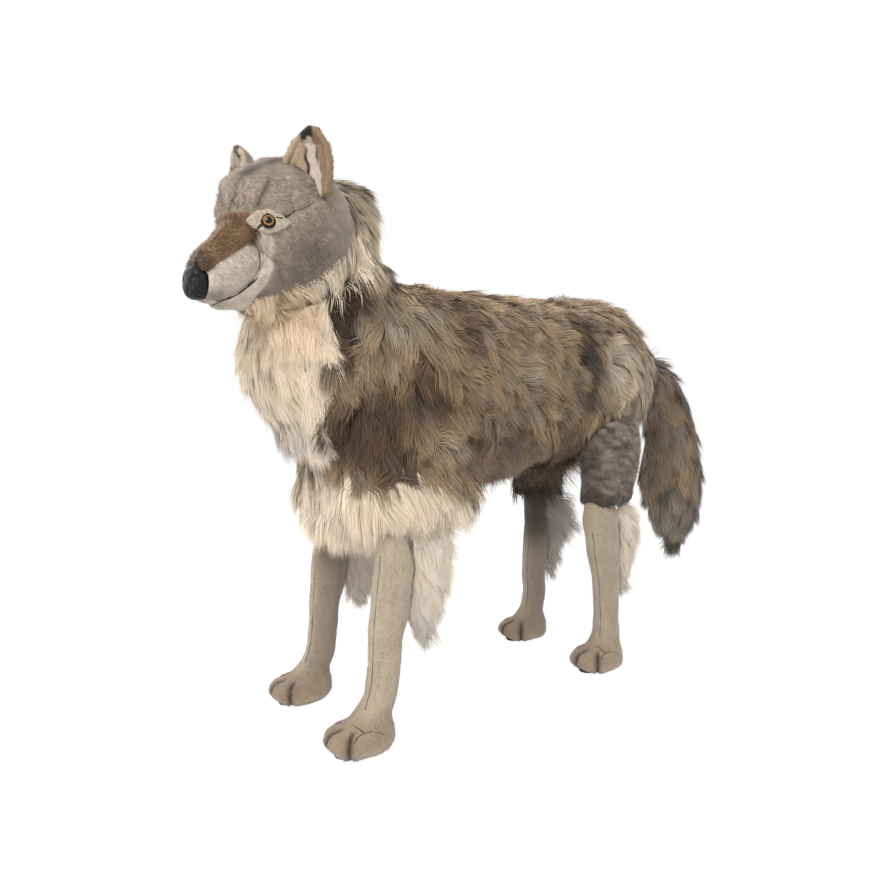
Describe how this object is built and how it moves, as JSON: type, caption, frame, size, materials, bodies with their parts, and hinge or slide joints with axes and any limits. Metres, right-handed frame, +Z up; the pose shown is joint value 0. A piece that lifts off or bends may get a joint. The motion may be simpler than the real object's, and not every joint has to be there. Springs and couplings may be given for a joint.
{
  "type": "plush wolf",
  "caption": "Life-size standing stuffed toy wolf with long pile, its head turned to its left, glass-like eyes, short plush legs and a hanging tail.",
  "frame": {"origin": "on the floor, under the middle of the wolf's bounding box", "axes": "+Z up; the wolf faces -Y; +X is its left side, towards which the head turns"},
  "size_m": [0.3055, 1.2245, 0.8755],
  "materials": {
    "long_tan_pile": "long tan pile with dark patches",
    "mane_pile": "long tan pile",
    "long_cream_pile": "long cream pile",
    "grey_short_plush": "short grey-tan plush",
    "brown_short_plush": "short brown plush",
    "cream_short_plush": "short cream plush",
    "beige_short_plush": "short beige plush",
    "marbled_short_plush": "short marbled grey-brown plush",
    "black_leatherette": "satin imitation leather",
    "amber_eye": "clear glossy dome over an amber iris and a black pupil",
    "sole_fabric": "flat woven fabric",
    "washer_plastic": "matt moulded plastic",
    "steel_wire": "bright drawn wire"
  },
  "bodies": {
    "root": {"torso": "long_tan_pile", "tail": "long_tan_pile", "neck_mane": "mane_pile", "chest_bib": "long_cream_pile", "brisket_fringe": "long_cream_pile", "elbow_feather_left": "long_cream_pile", "elbow_feather_right": "long_cream_pile", "hock_feather_left": "long_cream_pile", "hock_feather_right": "long_cream_pile", "head": "grey_short_plush", "muzzle_bridge": "brown_short_plush", "ear_left": "brown_short_plush", "ear_right": "brown_short_plush", "muzzle_left": "cream_short_plush", "muzzle_right": "cream_short_plush", "lower_jaw": "cream_short_plush", "ear_lining_left": "cream_short_plush", "ear_lining_right": "cream_short_plush", "eyelid_left": "cream_short_plush", "eyelid_right": "cream_short_plush", "foreleg_left": "beige_short_plush", "foreleg_right": "beige_short_plush", "hind_leg_left": "beige_short_plush", "hind_leg_right": "beige_short_plush", "thigh_left": "marbled_short_plush", "thigh_right": "marbled_short_plush", "nose": "black_leatherette", "eye_left": "amber_eye", "eye_right": "amber_eye", "fore_sole_left": "sole_fabric", "fore_sole_right": "sole_fabric", "hind_sole_left": "sole_fabric", "hind_sole_right": "sole_fabric", "eye_washer_left": "washer_plastic", "eye_washer_right": "washer_plastic", "spine_wire": "steel_wire", "foreleg_wire": "steel_wire", "hind_leg_wire": "steel_wire", "tail_wire": "steel_wire"}
  },
  "joints": []
}
